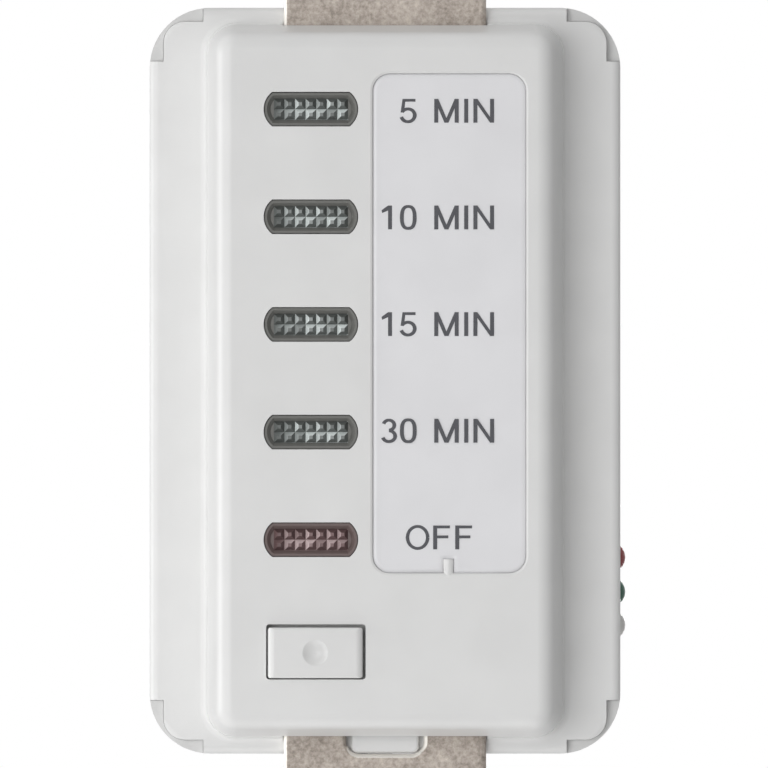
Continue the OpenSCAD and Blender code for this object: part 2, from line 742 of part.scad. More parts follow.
// Finger dimple with a rounded rim, sunk from the plane y = 0 towards +Y
module dimple() {
    rim_x = dimple_d / 2 + dimple_rim * sin(shoulder_start);
    rim_y = dimple_rim * cos(shoulder_start);
    lift = rim_y - dimple_t;
    bowl_r = (rim_x * rim_x + lift * lift - dimple_rim * dimple_rim) / (2 * (dimple_rim - lift));
    turn = asin(rim_x / (bowl_r + dimple_rim));
    meet = [bowl_r * sin(turn), dimple_t - bowl_r * (1 - cos(turn))];
    rotate([-90, 0, 0]) rotate_extrude() {
        difference() {
            polygon([[0, -eps], [dimple_d / 2, -eps], [dimple_d / 2, 0], [meet[0], meet[1]], [0, meet[1]]]);
            translate([rim_x, rim_y]) circle(dimple_rim);
        }
        intersection() {
            translate([0, dimple_t - bowl_r]) circle(bowl_r);
            translate([0, meet[1] - eps]) square([dimple_d, dimple_t]);
        }
    }
}

// Button cap with a dimple, a flange behind the face and a stem on the switch
module push_button() {
    cap_w = button_w - 2 * button_gap;
    cap_h = button_h - 2 * button_gap;
    front = face_y - button_proud;
    depth = button_lip_y + eps - front;
    color("whitesmoke") at_button() difference() {
        union() {
            intersection() {
                along_y(front, front + depth) round_rect(cap_w, cap_h, button_cap_r);
                along_z(-cap_h, cap_h) translate([0, front]) rolled_section(cap_w, depth, button_edge);
                along_x(-cap_w, cap_w) translate([front, 0]) mirror([1, 0]) rotate(90)
                    rolled_section(cap_h, depth, button_end);
            }
            along_y(button_lip_y, button_lip_y + button_lip_t)
                round_rect(button_w + 2 * button_lip, button_h + 2 * button_lip, button_r);
            bar_y([0, 0], button_lip_y, plunger_y, plunger_d);
        }
        translate([0, front, 0]) dimple();
    }
}

module switch_plunger() {
    rear = control_y - switch_floor - button_travel - pin_gap;
    color("black") at_button() bar_y([0, 0], plunger_y, rear, plunger_d);
}

module switch_body() {
    color("dimgray") at_button() {
        difference() {
            block_y([0, 0], switch_top, [switch_s, switch_h, switch_s]);
            bar_y([0, 0], switch_top - eps, control_y - switch_floor, plunger_d + 2 * pin_gap);
        }
        for (z = [-1, 1])
            block_y([0, z * switch_s / 3], control_y - switch_leg[1],
                [switch_s + 2 * switch_leg[0], switch_leg[1], switch_leg[2]]);
    }
}

module control_board() {
    color("darkgreen") difference() {
        along_y(control_y, control_rear) round_rect(control_w, control_h, hollow_r);
        for (p = control_posts)
            bar_y(p, control_y - eps, control_rear + eps, control_pin_d + 2 * pin_gap);
        for (i = [0:link_pins - 1])
            bar_y([link_x, link_pin_z(i)], control_y - eps, control_rear + eps, link_hole_d);
    }
}

function link_pin_z(i) = link_z + (i - (link_pins - 1) / 2) * link_pitch;

// Lamp with a light well, under a window
module lamp_at(i) {
    at_window(i) difference() {
        block_y([0, 0], control_y - lamp[1], lamp);
        bar_y([0, 0], control_y - lamp[1] - eps, control_y - lamp[1] / 2, lamp_well_d);
    }
}

module green_leds() { color("honeydew") for (i = [0:3]) lamp_at(i); }
module red_led() { color("mistyrose") lamp_at(4); }

module microcontroller() {
    leg_row = chip_place[1] - (chip_pins - 1) / 2 * chip_pitch;
    color("black") {
        block_y(chip_place, control_y - chip[1], [chip[0], chip[1] - chip_leg[1], chip[2]]);
        for (i = [0:chip_pins - 1])
            block_y([chip_place[0], leg_row + i * chip_pitch], control_y - 2 * chip_leg[1],
                [chip[0] + 2 * chip_leg[0], 2 * chip_leg[1], chip_leg[2]]);
    }
}

module timing_crystal() { color("silver") block_y(crystal_place, control_y - crystal[1], crystal); }

module led_resistors() {
    x = resistor_end - chip_resistor[0] / 2;
    color("black") for (i = [0:4])
        block_y([x, window_z(i)], control_y - chip_resistor[1], chip_resistor);
}

module insulator_sheet() {
    color("khaki") along_y(-strap_t - insulator_t, -strap_t) round_rect(insulator_w, insulator_h, hollow_r);
}

// Strap with rolled front edges, screw slots, plate screw holes and the key slot
module mounting_strap() {
    key_foot = -frame_h / 2 - key_reach;
    key_top = -hollow_h / 2 + 2 * key_r;
    color("silver") difference() {
        intersection() {
            along_y(-strap_t, 0) round_rect(strap_w, strap_l, strap_r);
            along_z(-strap_l / 2, strap_l / 2) translate([0, -strap_t])
                rolled_section(strap_w, strap_t, strap_edge);
        }
        for (z = [-1, 1]) {
            translate([0, 0, z * box_screw_pitch / 2])
                along_y(-strap_t - eps, eps) slot_outline(slot_l, slot_w);
            bar_y([0, z * plate_screw_pitch / 2], -strap_t - eps, eps, plate_hole_d);
        }
        translate([0, -strap_t, (key_foot + key_top) / 2]) {
            mouth(key_w, key_top - key_foot, key_r, key_round * cos(shoulder_start), key_round);
            along_y(-eps, strap_t + eps) round_rect(key_w, key_top - key_foot, key_r);
        }
        bar_y([rivet_x, lead_z], -strap_t - eps, eps, rivet_d + 2 * pin_gap);
    }
}

module ground_rivet() {
    color("gainsboro") {
        bar_y([rivet_x, lead_z], -strap_t, tab_t + eps, rivet_d);
        bar_y([rivet_x, lead_z], tab_t, tab_t + rivet_head_t, rivet_head_d);
    }
}

// Bent tab from the strap out to the ground lead
module ground_tab() {
    inner_end = rivet_x - tab_end;
    bend = strap_w / 2 + tab_clear;
    outer_end = lead_x + lead_d / 2;
    rise = tab_rear - tab_t;
    color("goldenrod") difference() {
        along_z(lead_z - tab_w / 2, lead_z + tab_w / 2) polygon([
            [inner_end, 0], [bend, 0], [bend + rise, rise], [outer_end, rise],
            [outer_end, tab_rear], [bend + rise - tab_t / 2, tab_rear], [bend - tab_t / 2, tab_t],
            [inner_end, tab_t]]);
        bar_y([rivet_x, lead_z], -eps, tab_t + eps, rivet_d + 2 * pin_gap);
    }
}

module link_header() {
    color("black") difference() {
        block_y([link_x, link_z], power_y - link_body, [link_body, link_body, link_pins * link_pitch]);
        for (i = [0:link_pins - 1])
            block_y([link_x, link_pin_z(i)], power_y - link_body - eps,
                [link_pin_d + 2 * pin_gap, link_body + 2 * eps, link_pin_d + 2 * pin_gap]);
    }
}

module header_pins() {
    front = control_y - pin_tail;
    color("gold") for (i = [0:link_pins - 1])
        block_y([link_x, link_pin_z(i)], front, [link_pin_d, power_rear + pin_tail - front, link_pin_d]);
}

module power_board() {
    color("tan") difference() {
        along_y(power_y, power_rear) round_rect(power_w, power_h, cavity_r);
        at_screws() bar_y([0, 0], power_y - eps, power_rear + eps, screw_d + 4 * pin_gap);
        for (i = [0:link_pins - 1])
            bar_y([link_x, link_pin_z(i)], power_y - eps, power_rear + eps, link_hole_d);
        bar_y(lead_spots[1], power_y - eps, power_rear + eps, ground_hole_d);
    }
}

// Relay: everything is placed from the centre of its base on the power board
module at_relay() { translate([relay_place[0], power_rear, relay_place[1]]) children(); }
relay_floor = relay_base_t;
relay_clear = 0.5;
coil_gap = 0.4;
armature_room = 2.9;
hinge_z = -relay[2] / 2 + relay_wall + relay_clear + iron_t / 2;
core_z = hinge_z + iron_t / 2 + coil_gap + coil_d / 2;
yoke_top = relay[1] - relay_wall - armature_room;
yoke_w = 7.8;
pole_gap = 0.5;
pole_proud = 0.3;
bobbin_t = 0.8;
bobbin_lip = 0.5;
armature_t = 1;
armature_w = 7;
blade_t = 0.3;
blade_gap = 0.05;
blade_margin = 0.3;
blade_w = contact_d + 2 * blade_margin;
blade_y = yoke_top + blade_gap + armature_t;
contact_z = relay[2] / 2 - relay_wall - relay_clear - contact_d / 2;
contact_t = 0.6;
contact_gap = (contact_z - hinge_z) * sin(armature_swing) + fit_gap;

module relay_base() {
    color("steelblue") at_relay() block_y([0, 0], 0, [relay[0], relay_base_t, relay[2]]);
}

module relay_cover() {
    inner = relay - 2 * [relay_wall, 0, relay_wall];
    color("royalblue") at_relay() difference() {
        along_y(relay_floor, relay[1]) round_rect(relay[0], relay[2], relay_wall);
        block_y([0, 0], relay_floor - eps, [inner[0], relay[1] - relay_wall - relay_floor + eps, inner[2]]);
    }
}

// Iron yoke: foot plate, upright and core
module relay_yoke() {
    foot_end = core_z + core_d / 2;
    color("slategray") at_relay() {
        translate([-yoke_w / 2, relay_floor, hinge_z - iron_t / 2]) {
            cube([yoke_w, iron_t, foot_end - hinge_z + iron_t / 2]);
            cube([yoke_w, yoke_top - relay_floor, iron_t]);
        }
        bar_y([0, core_z], relay_floor + iron_t - eps, yoke_top - pole_gap, core_d);
    }
}

// Coil on its bobbin, around the core
module relay_coil() {
    low = relay_floor + iron_t;
    high = yoke_top - pole_gap - pole_proud;
    color("peru") at_relay() difference() {
        union() {
            bar_y([0, core_z], low, high, coil_d - 2 * bobbin_lip);
            bar_y([0, core_z], low, low + bobbin_t, coil_d);
            bar_y([0, core_z], high - bobbin_t, high, coil_d);
        }
        bar_y([0, core_z], low - eps, high + eps, core_d + 2 * pin_gap);
    }
}

// Armature plate that rocks on the yoke's top edge
module relay_armature() {
    reach = core_z + core_d / 2 - hinge_z;
    color("slategray") at_relay()
        translate([-armature_w / 2, yoke_top + blade_gap, hinge_z]) cube([armature_w, armature_t, reach]);
}

// Spring blade on the armature, with the moving contact at its end
module contact_blade() {
    start = hinge_z + iron_t;
    color("goldenrod") at_relay() {
        translate([-blade_w / 2, blade_y, start])
            cube([blade_w, blade_t, contact_z + contact_d / 2 - start]);
        bar_y([0, contact_z], blade_y - contact_t, blade_y + eps, contact_d);
    }
}

// Fixed contact below the blade, on its post
module fixed_contacts() {
    top = blade_y - contact_t - contact_gap;
    post = [blade_w, top - contact_t - relay_floor, contact_d];
    color("goldenrod") at_relay() {
        block_y([0, contact_z], relay_floor, post);
        bar_y([0, contact_z], top - contact_t - eps, top, contact_d);
    }
}

module film_capacitor() {
    color("gold") translate([film_place[0], power_rear, film_place[1]])
        along_y(0, film_cap[1]) round_rect(film_cap[0], film_cap[2], leg_d);
}

// Can of a filter capacitor with its rolled neck
module can(place, size) {
    r = size[0] / 2;
    translate([place[0], power_rear, place[1]]) rotate([-90, 0, 0])
        rotate_extrude() difference() {
            square([r, size[1]]);
            translate([r, can_neck]) circle(can_groove);
        }
}

module filter_capacitors() {
    color("midnightblue") {
        can(large_place, large_cap);
        can(small_place, small_cap);
    }
}

// Disc on two wire legs
module varistor() {
    r = varistor_size[0] / 2;
    color("royalblue") translate([varistor_place[0], power_rear + leg_lift + r, varistor_place[1]]) {
        translate([0, 0, -varistor_size[1] / 2]) cylinder(r = r, h = varistor_size[1]);
        for (x = [-1, 1]) bar_y([x * r / 2, 0], -leg_lift - r, 0, leg_d);
    }
}

// Round body between two bent wire legs, lying along Z
module axial(size) {
    leg = size[1] / 2 + leg_d;
    centre = leg_lift / 2 + size[0] / 2;
    translate([0, power_rear + centre, 0]) {
        translate([0, 0, -size[1] / 2]) cylinder(d = size[0], h = size[1]);
        translate([0, 0, -leg - leg_d / 2]) cylinder(d = leg_d, h = 2 * leg + leg_d);
        for (z = [-1, 1]) bar_y([0, z * leg], -centre, 0, leg_d);
    }
}

module rectifier_diodes() {
    color("black") for (i = [0, 1], j = [0, 1])
        translate([diode_place[0] + i * diode_step[0], 0, diode_place[1] + j * diode_step[1]])
            axial(diode_size);
}

module fuse_resistor() {
    color("lightgreen") translate([fuse_place[0], 0, fuse_place[1]]) rotate([0, 90, 0]) axial(fuse_size);
}

// Half-round driver transistor on three legs
module relay_driver() {
    r = driver_size[0] / 2;
    color("black") translate([driver_place[0], power_rear, driver_place[1]]) {
        along_y(leg_lift, leg_lift + driver_size[1]) intersection() {
            circle(r);
            translate([0, driver_flat]) square(2 * r, center = true);
        }
        for (x = [-1, 0, 1]) bar_y([x * driver_pitch, 0], 0, leg_lift + eps, leg_d);
    }
}

// Rear housing: full-size rim with corner lugs, drafted body, screw posts and lead collars
module rear_housing() {
    color("gainsboro") difference() {
        union() {
            difference() {
                union() {
                    along_y(flange_t, rim_y) round_rect(flange_w, flange_h, flange_r);
                    along_y(lug_drop, flange_t + eps) intersection() {
                        round_rect(flange_w, flange_h, flange_r);
                        corner_notches(lug_gap);
                    }
                    translate([0, rim_y - eps, 0]) mirror([0, 1, 0])
                        moulded_block(body_w, body_h, back_y - rim_y + eps, body_draft, body_r, body_edge,
                            body_inset / 2);
                }
                along_y(flange_t - eps, back_inner) round_rect(cavity_w, cavity_h, cavity_r);
            }
            at_screws() bar_y([0, 0], power_rear, back_inner + eps, 2 * post_r);
            for (p = lead_spots)
                bar_y(p, back_y - eps, exit_y, lead_d + 2 * lead_gap + 2 * collar_wall);
        }
        at_screws() {
            bar_y([0, 0], power_rear - eps, back_y + eps, screw_d + 4 * pin_gap);
            bar_y([0, 0], screw_seat, back_y + eps, screw_head_d + 4 * pin_gap);
        }
        for (p = lead_spots) bar_y(p, back_inner - eps, exit_y + eps, lead_d + 2 * lead_gap);
    }
}

// Pan head screws with a cross recess, driven from the back
module housing_screws() {
    recess = screw_head_h / 2;
    color("silver") at_screws() difference() {
        union() {
            bar_y([0, 0], screw_tip, screw_seat + eps, screw_d);
            bar_y([0, 0], screw_seat, screw_seat + screw_head_h, screw_head_d);
        }
        for (turn = [0, 90]) rotate([0, turn, 0])
            block_y([0, 0], screw_seat + screw_head_h - recess, [recess_l, recess + eps, recess_w]);
    }
}

// Bare conductor ends inside: three on the power board, one on the ground tab
module lead_tails() {
    color("silver") {
        for (i = [0, 2, 3]) bar_y(lead_spots[i], power_rear, lead_start, conductor_d);
        bar_y(lead_spots[1], tab_rear, ground_start, conductor_d);
    }
}

module red_lead() { color("firebrick") tube(lead_points(0, lead_start, red_route), lead_d); }
module green_lead() { color("darkgreen") tube(lead_points(1, ground_start, green_route), lead_d); }
module white_lead() { color("white") tube(lead_points(2, lead_start, white_route), lead_d); }
module black_lead() { color("black") tube(lead_points(3, lead_start, black_route), lead_d); }

// Stripped conductor that hangs from the end of a lead
module lead_tip(i, route) {
    n = len(route);
    way = heading(route, n - 1);
    color("peru") translate(exit_of(i) + route[n - 1])
        rotate([0, acos(way[2]), atan2(way[1], way[0])]) cylinder(d = conductor_d, h = strip_l);
}

module red_lead_tip() { lead_tip(0, red_route); }
module green_lead_tip() { lead_tip(1, green_route); }
module white_lead_tip() { lead_tip(2, white_route); }
module black_lead_tip() { lead_tip(3, black_route); }

front_cover();
legend_plate();
lens_5_min();
lens_10_min();
lens_15_min();
lens_30_min();
lens_off();
push_button();
switch_plunger();
switch_body();
control_board();
green_leds();
red_led();
microcontroller();
timing_crystal();
led_resistors();
insulator_sheet();
mounting_strap();
ground_rivet();
ground_tab();
link_header();
header_pins();
power_board();
relay_base();
relay_cover();
relay_yoke();
relay_coil();
relay_armature();
contact_blade();
fixed_contacts();
film_capacitor();
filter_capacitors();
varistor();
rectifier_diodes();
fuse_resistor();
relay_driver();
rear_housing();
housing_screws();
lead_tails();
red_lead();
green_lead();
white_lead();
black_lead();
red_lead_tip();
green_lead_tip();
white_lead_tip();
black_lead_tip();
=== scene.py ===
"""Looks of the in-wall timer switch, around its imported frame. Metres, +Z up, -Y towards the user."""

import json
import math

import bmesh
import bpy
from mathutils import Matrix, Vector


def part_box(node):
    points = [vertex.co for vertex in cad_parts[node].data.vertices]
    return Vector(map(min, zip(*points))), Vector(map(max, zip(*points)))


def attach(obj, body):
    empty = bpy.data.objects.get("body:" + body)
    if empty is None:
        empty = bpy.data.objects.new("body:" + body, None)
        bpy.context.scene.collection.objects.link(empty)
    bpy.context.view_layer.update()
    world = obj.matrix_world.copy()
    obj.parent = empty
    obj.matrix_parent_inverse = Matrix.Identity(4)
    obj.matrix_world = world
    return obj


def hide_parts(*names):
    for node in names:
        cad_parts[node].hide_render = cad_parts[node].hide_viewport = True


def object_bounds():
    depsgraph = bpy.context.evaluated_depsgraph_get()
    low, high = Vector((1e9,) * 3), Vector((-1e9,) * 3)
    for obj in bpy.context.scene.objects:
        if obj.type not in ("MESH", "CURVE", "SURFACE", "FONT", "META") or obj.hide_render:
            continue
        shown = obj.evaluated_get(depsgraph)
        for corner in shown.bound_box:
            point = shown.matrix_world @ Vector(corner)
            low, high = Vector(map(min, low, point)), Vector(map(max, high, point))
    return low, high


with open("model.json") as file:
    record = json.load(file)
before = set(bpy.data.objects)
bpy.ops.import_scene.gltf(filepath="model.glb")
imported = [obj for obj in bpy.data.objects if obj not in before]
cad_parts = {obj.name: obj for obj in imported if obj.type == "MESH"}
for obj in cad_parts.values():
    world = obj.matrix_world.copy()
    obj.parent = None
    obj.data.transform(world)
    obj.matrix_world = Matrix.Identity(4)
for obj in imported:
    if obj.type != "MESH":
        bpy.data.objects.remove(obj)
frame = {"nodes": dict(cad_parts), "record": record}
cad_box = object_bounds()
nodes = frame["nodes"]
MM = 0.001

# Camera: straight in front, so far back that the view is nearly parallel
PHOTO_SIDE = 768
PHOTO_CENTRE = PHOTO_SIDE / 2
MM_PER_PIXEL = 0.093
ORIGIN_PIXEL = (385.0, 380.7)
CAMERA_BACK = 1.3
SENSOR_MM = 36

# Studio light: an even sky, a panel grazing from the left, soft boxes in front, below, overhead, behind
SKY_LIGHT = 0.18
SEEN_WHITE = 1
LAMPS = {
    "left_panel": {"place": (-0.4, -0.02, -0.03), "size": 0.16, "watts": 0.195, "spread": 100},
    "front_box": {"place": (-0.2, -0.5, 0.0), "size": 0.3, "watts": 0.58, "spread": 130},
    "low_box": {"place": (-0.03, -0.05, -0.2), "size": 0.12, "watts": 0.04, "spread": 130},
    "overhead_box": {"place": (-0.1, -0.5, 1.2), "size": 2.4, "watts": 12, "spread": 180},
    "back_box": {"place": (0.0, 0.9, 0.0), "size": 0.3, "watts": 0.75, "spread": 60},
}
AIM = (0, 0, 0)
FLOOR_SIDE = 3.0
FLOOR_GAP = 0.15
FLOOR_GLOW = 0.42
FLOOR_COLOUR = (0.86, 0.86, 0.86)


def add_object(name, data):
    """A new object of the scene, made of that data."""
    made = bpy.data.objects.new(name, data)
    bpy.context.collection.objects.link(made)
    return made


def add_camera():
    """A camera that sees as much as the photo does, with the part's origin at its pixel."""
    data = bpy.data.cameras.new("camera")
    data.sensor_width = SENSOR_MM
    data.lens = SENSOR_MM * CAMERA_BACK / (PHOTO_SIDE * MM_PER_PIXEL * MM)
    camera = add_object("camera", data)
    x = (PHOTO_CENTRE - ORIGIN_PIXEL[0]) * MM_PER_PIXEL * MM
    z = (ORIGIN_PIXEL[1] - PHOTO_CENTRE) * MM_PER_PIXEL * MM
    camera.location = (x, -CAMERA_BACK, z)
    camera.rotation_euler = (math.radians(90), 0, 0)
    bpy.context.scene.camera = camera


def add_panel(name, place, size, watts, spread):
    """A square lamp that shines at the part and stays out of the picture."""
    data = bpy.data.lights.new(name, "AREA")
    data.shape = "SQUARE"
    data.size = size
    data.energy = watts
    data.spread = math.radians(spread)
    lamp = add_object(name, data)
    lamp.location = place
    lamp.visible_camera = False
    lamp.rotation_euler = (Vector(AIM) - lamp.location).to_track_quat("-Z", "Y").to_euler()


def seen_directly(tree):
    """1 for rays that show the surroundings themselves: straight, mirrored or through glass."""
    path = tree.nodes.new("ShaderNodeLightPath")
    seen = path.outputs["Is Camera Ray"]
    for ray in ("Is Glossy Ray", "Is Transmission Ray"):
        either = tree.nodes.new("ShaderNodeMath")
        either.operation = "MAXIMUM"
        tree.links.new(seen, either.inputs[0])
        tree.links.new(path.outputs[ray], either.inputs[1])
        seen = either.outputs[0]
    return seen


def make_world():
    """Surroundings that are white where they are seen directly, and give a dimmer, even light."""
    world = bpy.data.worlds.new("studio")
    world.use_nodes = True
    tree = world.node_tree
    mix = tree.nodes.new("ShaderNodeMixShader")
    tree.links.new(seen_directly(tree), mix.inputs["Fac"])
    skies = (tree.nodes["Background"], tree.nodes.new("ShaderNodeBackground"))
    for socket, sky, strength in zip(mix.inputs[1:], skies, (SKY_LIGHT, SEEN_WHITE)):
        sky.inputs["Color"].default_value = (1, 1, 1, 1)
        sky.inputs["Strength"].default_value = strength
        tree.links.new(sky.outputs[0], socket)
    tree.links.new(mix.outputs[0], tree.nodes["World Output"].inputs["Surface"])
    bpy.context.scene.world = world


# Surface detail: the range that most of a cloudy value lies in, and where a side starts to face a way
CLOUD_LOW = 0.3
CLOUD_HIGH = 0.7
FACING_FROM = 0.3
# Ways that the light comes from, for the strap's painted edge highlight
LEFT = (-1, 0, 0)
UP = (0, 0, 1)


def tone(colour, factor):
    """A colour made darker or lighter."""
    return tuple(channel * factor for channel in colour)


class Look:
    """A Principled material, with procedural detail in the part's own coordinates."""

    def __init__(self, name, **sockets):
        self.material = bpy.data.materials.new(name)
        self.material.use_nodes = True
        self.tree = self.material.node_tree
        self.shader = self.tree.nodes["Principled BSDF"]
        self.place = self.tree.nodes.new("ShaderNodeTexCoord").outputs["Object"]
        for socket, value in sockets.items():
            self.shader.inputs[socket.replace("_", " ")].default_value = value

    def node(self, kind, inputs, **settings):
        """A new node, whose inputs are fixed values or come from other nodes."""
        made = self.tree.nodes.new(kind)
        for name, value in settings.items():
            setattr(made, name, value)
        for name, value in inputs.items():
            if isinstance(value, bpy.types.NodeSocket):
                self.tree.links.new(value, made.inputs[name])
            else:
                made.inputs[name].default_value = value
        return made

    def math(self, operation, *values):
        """The result of an operation on values."""
        return self.node("ShaderNodeMath", dict(enumerate(values)), operation=operation).outputs[0]

    def noise(self, grain, detail, roughness=0.5):
        """Cloudy values from 0 to 1, with grains of about that size in mm."""
        inputs = {"Vector": self.place, "Scale": 1 / (grain * MM), "Detail": detail, "Roughness": roughness}
        return self.node("ShaderNodeTexNoise", inputs).outputs["Fac"]

    def span(self, value, low, high, start=0.0, end=1.0):
        """A value that runs from start to end, spread between two others."""
        inputs = {"Value": value, "From Min": start, "From Max": end, "To Min": low, "To Max": high}
        return self.node("ShaderNodeMapRange", inputs).outputs["Result"]

    def within(self, value, limit):
        """1 where a length is less than a limit in mm, on either side of 0."""
        return self.math("LESS_THAN", self.math("ABSOLUTE", value), limit * MM)

    def facing(self, way):
        """From 0 for sides that face across or away, to 1 for those that face a way."""
        normal = self.node("ShaderNodeNewGeometry", {}).outputs["Normal"]
        along = self.node("ShaderNodeVectorMath", {0: normal, 1: way}, operation="DOT_PRODUCT")
        return self.span(along.outputs["Value"], 0.0, 1.0, start=FACING_FROM)

    def colours(self, value, stops):
        """Base colours along a value: stops are (position, colour)."""
        ramp = self.node("ShaderNodeValToRGB", {"Fac": value})
        elements = ramp.color_ramp.elements
        for element, (position, colour) in zip(elements, (stops[0], stops[-1])):
            element.position = position
            element.color = (*colour, 1)
        for position, colour in stops[1:-1]:
            elements.new(position).color = (*colour, 1)
        self.tree.links.new(ramp.outputs["Color"], self.shader.inputs["Base Color"])

    def shades(self, cloud, colour, darkest, lightest):
        """Shades of one base colour, which follow a cloudy value."""
        self.colours(cloud, [(CLOUD_LOW, tone(colour, darkest)), (CLOUD_HIGH, tone(colour, lightest))])

    def roughness(self, value, smoothest, roughest):
        """Roughness that follows a value."""
        self.tree.links.new(self.span(value, smoothest, roughest), self.shader.inputs["Roughness"])

    def relief(self, height, depth):
        """Relief of that depth in mm."""
        bump = self.node("ShaderNodeBump", {"Height": height, "Distance": depth * MM, "Strength": 1.0})
        self.tree.links.new(bump.outputs["Normal"], self.shader.inputs["Normal"])


def moulded_plastic(name, colour, roughness):
    """Moulded plastic: faint flow marks in the colour, a fine spark-eroded skin."""
    look = Look(name)
    flow = look.noise(grain=6, detail=2)
    look.shades(flow, colour, darkest=0.975, lightest=1.02)
    skin = look.noise(grain=0.22, detail=2, roughness=0.6)
    look.roughness(skin, smoothest=roughness - 0.05, roughest=roughness + 0.07)
    look.relief(skin, depth=0.004)
    return look.material


def plain_part(name, colour, roughness, grain=1.2, **sockets):
    """Small bought part: speckled colour and an uneven skin."""
    look = Look(name, **sockets)
    speckle = look.noise(grain, detail=4)
    look.shades(speckle, colour, darkest=0.88, lightest=1.12)
    look.roughness(speckle, smoothest=roughness - 0.08, roughest=roughness + 0.1)
    look.relief(speckle, depth=0.01)
    return look.material


def bare_metal(name, colour, roughness):
    """Small bought part of bare metal."""
    return plain_part(name, colour, roughness, Metallic=1.0)


def lead_skin(name, colour):
    """Extruded lead insulation: faint clouds in the colour, a satin skin."""
    look = Look(name, Specular_IOR_Level=0.1)
    cloud = look.noise(grain=3.5, detail=3)
    look.shades(cloud, colour, darkest=0.93, lightest=1.06)
    skin = look.noise(grain=0.3, detail=2)
    look.roughness(skin, smoothest=0.5, roughest=0.65)
    look.relief(skin, depth=0.003)
    return look.material


def printed_ink(name, colour):
    """Pad-printed ink with slightly uneven cover."""
    look = Look(name)
    cover = look.noise(grain=0.25, detail=3)
    look.shades(cover, colour, darkest=0.85, lightest=1.2)
    look.roughness(cover, smoothest=0.45, roughest=0.6)
    return look.material


def floor_paper(name, colour, glow):
    """Pale matt paper, which also shows some light of its own where it is seen directly."""
    look = Look(name)
    fibre = look.noise(grain=0.8, detail=4)
    look.shades(fibre, colour, darkest=0.99, lightest=1.01)
    look.roughness(fibre, smoothest=0.8, roughest=0.95)
    look.shader.inputs["Emission Color"].default_value = (*colour, 1)
    strength = look.math("MULTIPLY", seen_directly(look.tree), glow)
    look.tree.links.new(strength, look.shader.inputs["Emission Strength"])
    return look.material


# Zinc coat: colours along mottle and painted edge highlight, share of fine spangle, strength of the
# highlight
ZINC_COLOURS = [
    (0.33, (0.205, 0.175, 0.15)),
    (0.5, (0.365, 0.322, 0.285)),
    (0.68, (0.53, 0.475, 0.425)),
    (0.95, (0.88, 0.85, 0.8)),
]
SPANGLE_SHARE = 0.7
EDGE_HIGHLIGHT_GAIN = 2.0


def zinc_steel(name):
    """Strap steel with a dull, mottled zinc coat, and a painted highlight on edges that face left or up."""
    look = Look(name, Metallic=0.55, Specular_IOR_Level=0.4)
    spangle = look.noise(grain=0.45, detail=3, roughness=0.7)
    cloud = look.noise(grain=4, detail=2)
    clouded = look.math("MULTIPLY", cloud, 1 - SPANGLE_SHARE)
    mottle = look.math("MULTIPLY_ADD", spangle, SPANGLE_SHARE, clouded)
    # Painted highlight: edges that face left or up, where the light falls, are coloured brighter
    painted_edge_highlight = look.math("MAXIMUM", look.facing(LEFT), look.facing(UP))
    look.colours(look.math("MULTIPLY_ADD", painted_edge_highlight, EDGE_HIGHLIGHT_GAIN, mottle), ZINC_COLOURS)
    look.roughness(spangle, smoothest=0.45, roughest=0.7)
    look.relief(spangle, depth=0.006)
    return look.material


def middle_of(node):
    """The centre of a node's box."""
    low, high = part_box(node)
    return (low + high) / 2


# Lenses: where the frame has them, and in mm the field of prisms that each has at its centre
LOWEST_LENS = middle_of("lens_off")
LENS_PITCH = middle_of("lens_30_min").z - LOWEST_LENS.z
PRISM_PITCH = 0.98
PRISM_COLUMNS = 7
PRISM_ROWS = 2

# Light on the prisms: ways that lit flanks face, least and most sparkle, the shadow's span in mm and light
LIT_LEFT = (-0.77, -0.64, 0)
LIT_UP = (0, -0.64, 0.77)
SPARKLE = (0.55, 1.1)
SHADOW_SPAN = (-3.6, -1.4)
SHADOW_LIGHT = 0.3

# Shades of a lens: 0 on its rim, then from the dark of the prism field to its glints
FIELD_DARK = 0.15
FIELD_MIDDLE = 0.5
FIELD_GLINT = 1.0


def lens_place(look):
    """Distances right of and above the centre of the lens, and the height at which its row starts."""
    axes = look.node("ShaderNodeSeparateXYZ", {"Vector": look.place}).outputs
    across = look.math("SUBTRACT", axes["X"], LOWEST_LENS.x)
    height = look.math("SUBTRACT", axes["Z"], LOWEST_LENS.z - LENS_PITCH / 2)
    in_row = look.math("FLOORED_MODULO", height, LENS_PITCH)
    above = look.math("SUBTRACT", in_row, LENS_PITCH / 2)
    return across, above, look.math("SUBTRACT", height, in_row)


def lit_flanks(look, above):
    """Up to 1 on flanks that the light meets: those that face left, and in the lower row also up."""
    lower_row = look.math("LESS_THAN", above, 0.0)
    facing_up = look.math("MULTIPLY", look.facing(LIT_UP), lower_row)
    return look.math("MAXIMUM", look.facing(LIT_LEFT), facing_up)


def prism_sparkle(look, across, above, row_start):
    """How strong the painted glint on each prism is, drawn at random."""
    along = look.math("ADD", across, PRISM_PITCH / 2 * MM)
    place = look.node("ShaderNodeCombineXYZ", {"X": along, "Y": row_start, "Z": above}).outputs[0]
    steps = (PRISM_PITCH * MM,) * 3
    prism = look.node("ShaderNodeVectorMath", {0: place, 1: steps}, operation="SNAP").outputs[0]
    chance = look.node("ShaderNodeTexWhiteNoise", {"Vector": prism}).outputs["Value"]
    return look.span(chance, *SPARKLE)


